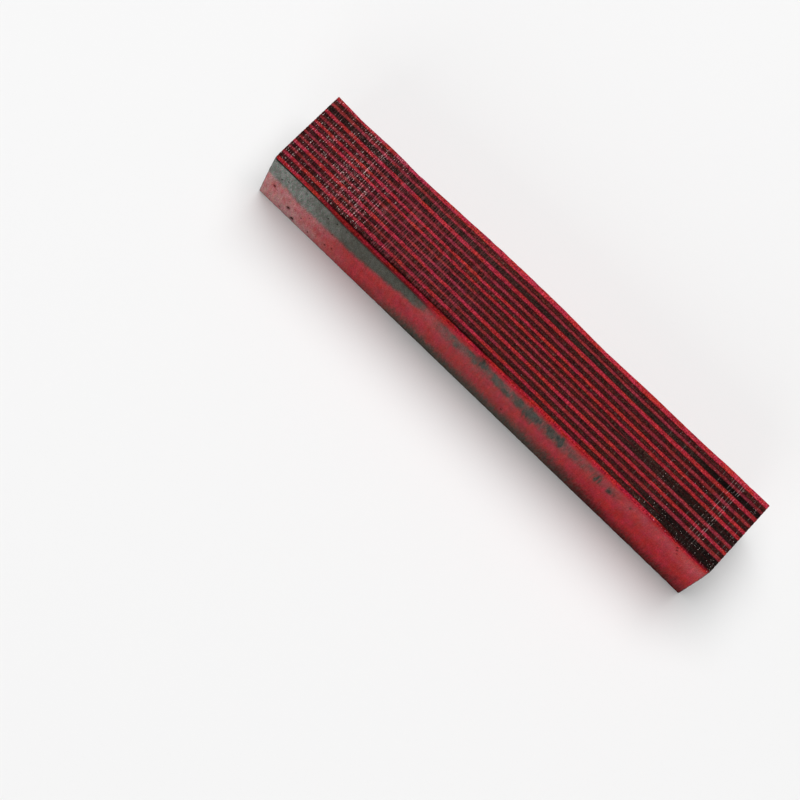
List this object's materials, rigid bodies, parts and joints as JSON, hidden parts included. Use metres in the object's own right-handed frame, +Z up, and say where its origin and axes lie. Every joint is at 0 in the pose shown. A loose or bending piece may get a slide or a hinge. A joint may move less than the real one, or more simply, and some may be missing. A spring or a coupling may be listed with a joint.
{
  "type": "dyed laminated wood block",
  "caption": "Square sawn block of thin red and black dyed veneers glued face to face, striped lengthwise, for turning or carving into a pen, grip or inlay.",
  "frame": {"origin": "centre of the block's footprint, on the sawn face that it lies on", "axes": "+X along the grain and the block's length, +Y through the stack of sheets from the near sawn face to the far one, +Z up"},
  "size_m": [0.127, 0.021, 0.0208],
  "materials": {
    "red_veneer": "dyed through, sawn, satin from the resin glue",
    "dull_red_veneer": "dyed through in a browner red, sawn, satin",
    "black_veneer": "dyed through, sawn, satin, with a grey-green sheen in glancing light"
  },
  "bodies": {
    "root": {"near_sliver_black": "black_veneer", "veneer_01_red": "red_veneer", "veneer_02_black": "black_veneer", "veneer_03_red": "red_veneer", "veneer_04_black": "black_veneer", "veneer_05_dull_red": "dull_red_veneer", "veneer_06_black": "black_veneer", "veneer_07_red": "red_veneer", "veneer_08_black": "black_veneer", "veneer_09_dull_red": "dull_red_veneer", "veneer_10_black": "black_veneer", "veneer_11_dull_red": "dull_red_veneer", "veneer_12_black": "black_veneer", "veneer_13_red": "red_veneer", "veneer_14_black": "black_veneer", "veneer_15_red": "red_veneer", "veneer_16_black": "black_veneer", "veneer_17_dull_red": "dull_red_veneer", "veneer_18_black": "black_veneer", "veneer_19_red": "red_veneer", "veneer_20_black": "black_veneer", "veneer_21_dull_red": "dull_red_veneer", "veneer_22_black": "black_veneer", "veneer_23_red": "red_veneer", "far_wedge_black": "black_veneer"}
  },
  "joints": []
}
